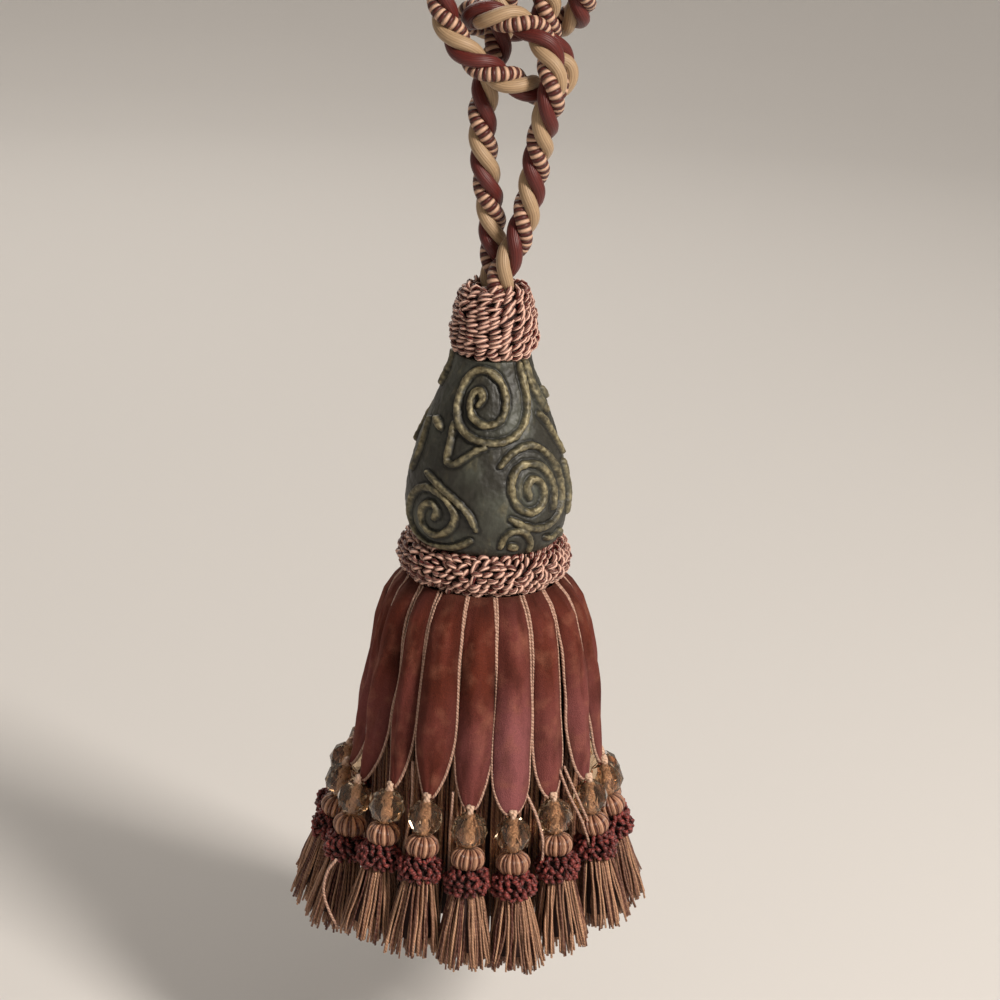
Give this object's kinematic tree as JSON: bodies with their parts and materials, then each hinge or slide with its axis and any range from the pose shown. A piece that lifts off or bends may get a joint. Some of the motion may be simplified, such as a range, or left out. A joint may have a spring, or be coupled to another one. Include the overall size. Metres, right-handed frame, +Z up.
{
  "type": "curtain tieback tassel",
  "caption": "Curtain tieback tassel: knotted twisted rope, looped cap, gilded pear-shaped mould and ruff, velvet petals with glass beads and small yarn tassels round an inner yarn skirt.",
  "frame": {"origin": "the top of the rope loop, on the tassel's axis, where it hangs", "axes": "+Z up along the tassel's axis, -Y the front, +X to the right seen from the front"},
  "size_m": [0.1193, 0.1198, 0.3923],
  "materials": {
    "rope": "three-strand twisted rope: satin tan, satin maroon and tan-and-maroon striped gimp",
    "gimp": "looped twisted gimp, maroon with pale pink and tan",
    "mould": "dark green-black paint over raised antique-gold scrolls, satin",
    "velvet": "dusty rose velvet with pale twisted piping",
    "glass": "faceted champagne glass, polished",
    "yarn": "twisted viscose yarn, tan, brown and maroon mixed, satin"
  },
  "bodies": {
    "root": {"hanging_rope": "rope", "neck_cap": "gimp", "mould": "mould", "base_ruff": "gimp", "inner_skirt": "yarn", "petal_01": "velvet", "petal_02": "velvet", "petal_03": "velvet", "petal_04": "velvet", "petal_05": "velvet", "petal_06": "velvet", "petal_07": "velvet", "petal_08": "velvet", "petal_09": "velvet", "petal_10": "velvet", "petal_11": "velvet", "petal_12": "velvet", "petal_13": "velvet", "petal_14": "velvet", "petal_15": "velvet", "petal_16": "velvet", "petal_17": "velvet", "petal_18": "velvet", "bead_01": "glass", "bead_02": "glass", "bead_03": "glass", "bead_04": "glass", "bead_05": "glass", "bead_06": "glass", "bead_07": "glass", "bead_08": "glass", "bead_09": "glass", "bead_10": "glass", "bead_11": "glass", "bead_12": "glass", "bead_13": "glass", "bead_14": "glass", "bead_15": "glass", "bead_16": "glass", "bead_17": "glass", "bead_18": "glass", "mini_tassel_01": "yarn", "mini_tassel_02": "yarn", "mini_tassel_03": "yarn", "mini_tassel_04": "yarn", "mini_tassel_05": "yarn", "mini_tassel_06": "yarn", "mini_tassel_07": "yarn", "mini_tassel_08": "yarn", "mini_tassel_09": "yarn", "mini_tassel_10": "yarn", "mini_tassel_11": "yarn", "mini_tassel_12": "yarn", "mini_tassel_13": "yarn", "mini_tassel_14": "yarn", "mini_tassel_15": "yarn", "mini_tassel_16": "yarn", "mini_tassel_17": "yarn", "mini_tassel_18": "yarn"}
  },
  "joints": []
}
